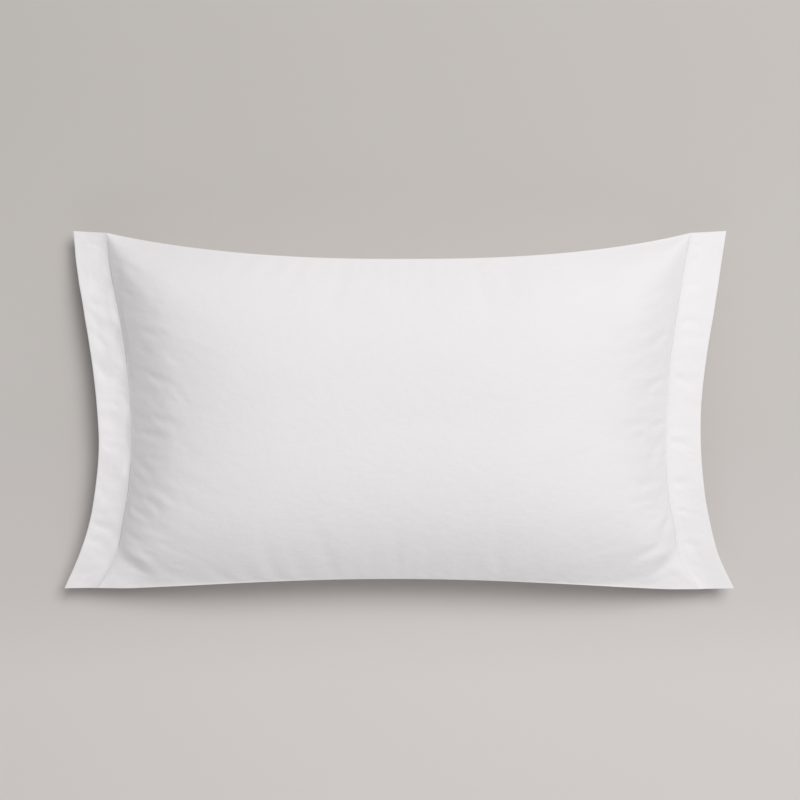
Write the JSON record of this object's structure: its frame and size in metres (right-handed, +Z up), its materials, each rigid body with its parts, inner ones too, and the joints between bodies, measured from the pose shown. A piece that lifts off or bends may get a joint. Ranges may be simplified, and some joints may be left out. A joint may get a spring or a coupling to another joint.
{
  "type": "pillowcase",
  "caption": "Filled rectangular pillowcase lying on its back, crowned, with drawn-in sides and a deep flat border sewn to each short side",
  "frame": {"origin": "on the resting surface, under the middle of the bounding box", "axes": "+X along the long side of the case, +Y towards its head edge, +Z up through its face"},
  "size_m": [0.9308, 0.498, 0.131],
  "materials": {
    "case_cotton": "plain woven white cotton, matt, lightly creased near the seams",
    "border_cotton": "the same cotton doubled, pressed flat, with topstitching along the seam"
  },
  "bodies": {
    "root": {"case_body": "case_cotton", "border_left": "border_cotton", "border_right": "border_cotton"}
  },
  "joints": []
}
